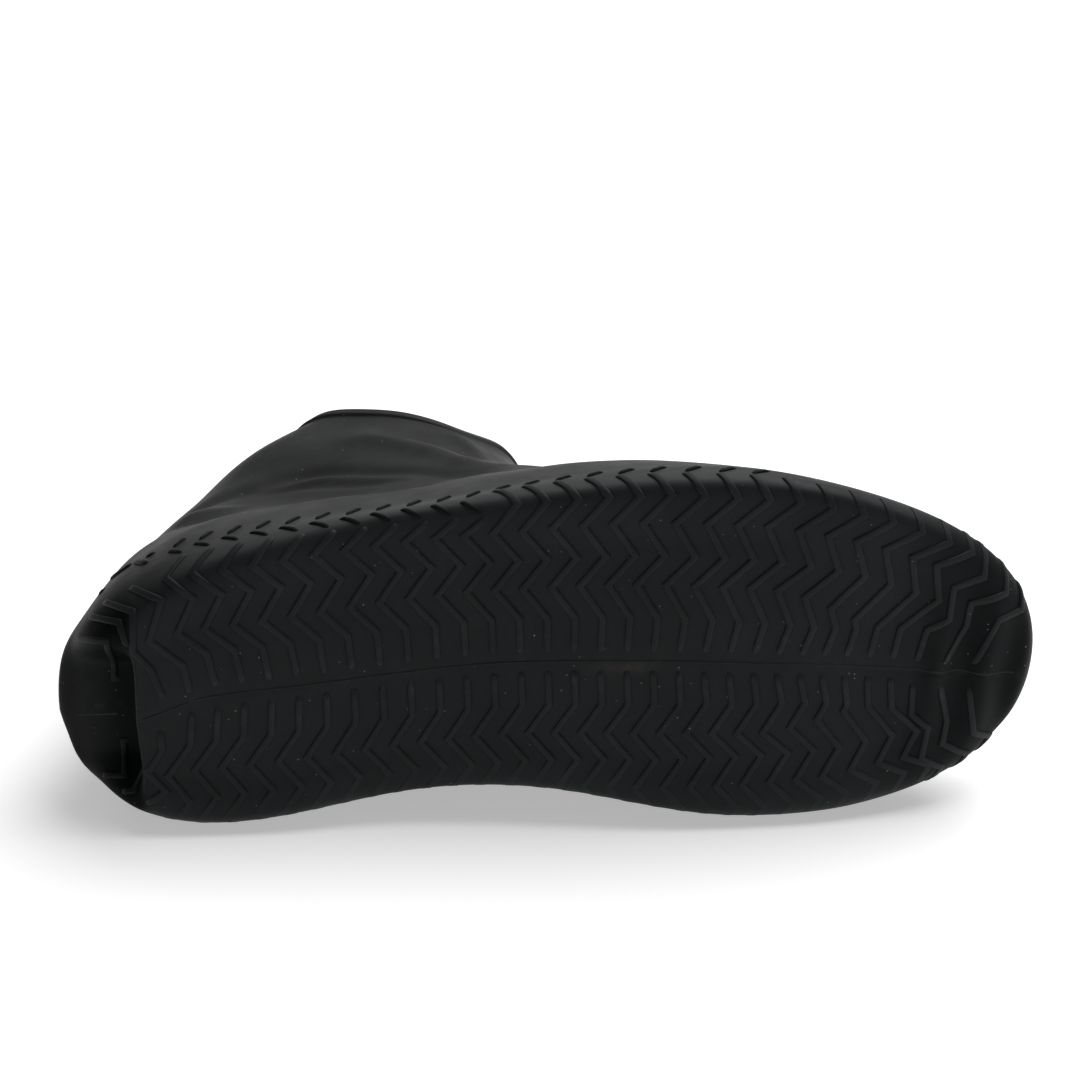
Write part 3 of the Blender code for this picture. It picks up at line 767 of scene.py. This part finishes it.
def rubber(name, base, kind):
    m, nodes, links, shader = new_material(name)
    coords = nodes.new("ShaderNodeTexCoord").outputs["Object"]
    mottle = noise(nodes, links, coords, 38.0, 5.0, 0.6)
    tint = -0.03 if kind == "shell" else -0.14
    colour = ramp(nodes, links, mottle, [(0.30, grey(base * 0.82, tint)), (0.52, grey(base, tint)), (0.74, grey(base * 1.28, tint))])
    bloom = ramp(nodes, links, noise(nodes, links, coords, 120.0, 4.0, 0.65), [(0.55, grey(0.0)), (0.85, grey(0.28))])
    colour = mix_colour(nodes, links, bloom, colour, grey(base * 2.4, tint))
    if kind == "shell":
        # painted shade: the sole's skin, which gets less light than the upper, is darkened and tinted bluish
        colour = mix_colour(nodes, links, math_node(nodes, links, "MULTIPLY", mark(nodes, "sole"), 0.70), colour, grey(base * 0.62, -0.26))
        # painted shade darkens the smooth patches of the heel and the toe, most of all in the heel's recess by the fold
        colour = mix_colour(nodes, links, math_node(nodes, links, "MULTIPLY", mark(nodes, "patch_shade"), 0.85), colour, grey(base * 0.18, -0.15))
        # painted highlight of the lit band above the sole's edge
        colour = mix_colour(nodes, links, mark(nodes, "lit_band"), colour, grey(base * 2.4))
        tan = math_node(nodes, links, "MULTIPLY", mark(nodes, "stain"), noise(nodes, links, coords, 420.0, 3.0))
        colour = mix_colour(nodes, links, math_node(nodes, links, "MULTIPLY", tan, 0.30), colour, (0.12, 0.095, 0.07, 1.0))
        streak = ramp(nodes, links, noise(nodes, links, coords, 260.0, 4.0), [(0.50, grey(0.0)), (0.80, grey(0.25))])
        seam = math_node(nodes, links, "MULTIPLY", mark(nodes, "seam"), streak)
        colour = mix_colour(nodes, links, seam, colour, grey(base * 2.6))
    else:
        worn = ramp(nodes, links, noise(nodes, links, coords, 330.0, 5.0, 0.7), [(0.50, grey(0.0)), (0.72, grey(1.0))])
        worn = math_node(nodes, links, "MULTIPLY", worn, mark(nodes, "wear"))
        worn = math_node(nodes, links, "MULTIPLY", worn, mark(nodes, "top"))
        colour = mix_colour(nodes, links, math_node(nodes, links, "MULTIPLY", worn, 0.16), colour, grey(0.16, 0.02))
        # painted shade: the dashes on the side wall and the heel's ribs behind the fold are darkened
        colour = mix_colour(nodes, links, math_node(nodes, links, "MULTIPLY", mark(nodes, "dark"), 0.75), colour, grey(base * 0.2))
    specks = dust_specks(nodes, links, coords, 240.0, 0.05, 0.085)
    fine = dust_specks(nodes, links, coords, 560.0, 0.18 if kind == "shell" else 0.045, 0.135)
    specks = math_node(nodes, links, "MAXIMUM", specks, fine)
    colour = mix_colour(nodes, links, math_node(nodes, links, "MULTIPLY", specks, 0.5), colour, grey(0.26))
    links.new(colour, shader.inputs["Base Color"])
    rough = ramp(nodes, links, noise(nodes, links, coords, 70.0, 5.0, 0.6), [(0.30, grey(0.46)), (0.70, grey(0.60))])
    links.new(rough, shader.inputs["Roughness"])
    where = mark(nodes, "patch_shade" if kind == "shell" else "dark")
    shine = ramp(nodes, links, where, [(0.0, grey(0.10, 0.0)), (1.0, grey(0.015 if kind == "shell" else 0.04, 0.0))])
    links.new(shine, shader.inputs["Specular IOR Level"])
    grain = noise(nodes, links, coords, 1500.0, 2.0, 0.5)
    soft = noise(nodes, links, coords, 160.0, 4.0, 0.55)
    height = math_node(nodes, links, "ADD", math_node(nodes, links, "MULTIPLY", grain, 0.25), soft)
    bump = nodes.new("ShaderNodeBump")
    bump.inputs["Strength"].default_value = 0.18
    bump.inputs["Distance"].default_value = 0.0006
    links.new(height, bump.inputs["Height"])
    links.new(bump.outputs["Normal"], shader.inputs["Normal"])
    return m


# ====================================================================== build
shell, P0, P, knot, quads = build_shell()
tread = build_tread(P0, P, knot, quads)
shell.data.materials.append(rubber("black_silicone_shell", 0.0200, "shell"))
tread.data.materials.append(rubber("black_silicone_tread", 0.0172, "tread"))
for piece in (shell, tread):
    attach(piece, "root")
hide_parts("moulded_cover")

# ====================================================================== stage
bpy.ops.mesh.primitive_plane_add(size=8.0, location=(0.0, 0.6, -0.0002))
floor = bpy.context.object
floor.name = "floor"
m, nodes, links, shader = new_material("floor_white")
shader.inputs["Base Color"].default_value = (0.80, 0.80, 0.80, 1.0)
shader.inputs["Roughness"].default_value = 0.9
shader.inputs["Specular IOR Level"].default_value = 0.0
shader.inputs["Emission Color"].default_value = (1.0, 1.0, 1.0, 1.0)
shader.inputs["Emission Strength"].default_value = 0.42
floor.data.materials.append(m)


def area_light(name, place_m, target_m, size, watts):
    data = bpy.data.lights.new(name, "AREA")
    data.shape, data.size, data.size_y = "RECTANGLE", size[0], size[1]
    data.energy = watts
    obj = bpy.data.objects.new(name, data)
    obj.location = place_m
    obj.rotation_euler = (Vector(target_m) - Vector(place_m)).to_track_quat("-Z", "Y").to_euler()
    bpy.context.scene.collection.objects.link(obj)
    return obj


area_light("overhead_softbox", (0.60, 0.42, 1.45), (0.05, 0.1, 0.0), (1.8, 1.6), 38.0)
area_light("back_softbox", (0.3, 2.2, 1.1), (0.0, 0.0, 0.1), (3.0, 1.6), 8.0)

world = bpy.data.worlds.new("studio")
world.use_nodes = True
back = world.node_tree.nodes["Background"]
back.inputs["Color"].default_value = (1.0, 1.0, 1.0, 1.0)
back.inputs["Strength"].default_value = 0.10
bpy.context.scene.world = world
bpy.context.scene.view_settings.view_transform = "Standard"

# ====================================================================== camera
ELEVATION, AZIMUTH = math.radians(23.5), math.radians(-1.742)
DISTANCE, TARGET = 1.200, Vector((-0.00118, -0.03431, 0.0748))
MM_PER_PIXEL, FRAME = 0.29649, 1080
camera_data = bpy.data.cameras.new("camera")
camera_data.sensor_width = 36.0
camera_data.lens = DISTANCE / MM / MM_PER_PIXEL * 36.0 / FRAME
camera_data.clip_start, camera_data.clip_end = 0.01, 20.0
camera = bpy.data.objects.new("camera", camera_data)
camera.location = TARGET + DISTANCE * Vector((math.sin(AZIMUTH) * math.cos(ELEVATION), -math.cos(AZIMUTH) * math.cos(ELEVATION), math.sin(ELEVATION)))
camera.rotation_euler = (TARGET - camera.location).to_track_quat("-Z", "Y").to_euler()
bpy.context.scene.collection.objects.link(camera)
bpy.context.scene.camera = camera

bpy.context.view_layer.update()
for piece in (shell, tread):
    print(piece.name, "triangles", sum(len(p.vertices) - 2 for p in piece.data.polygons))
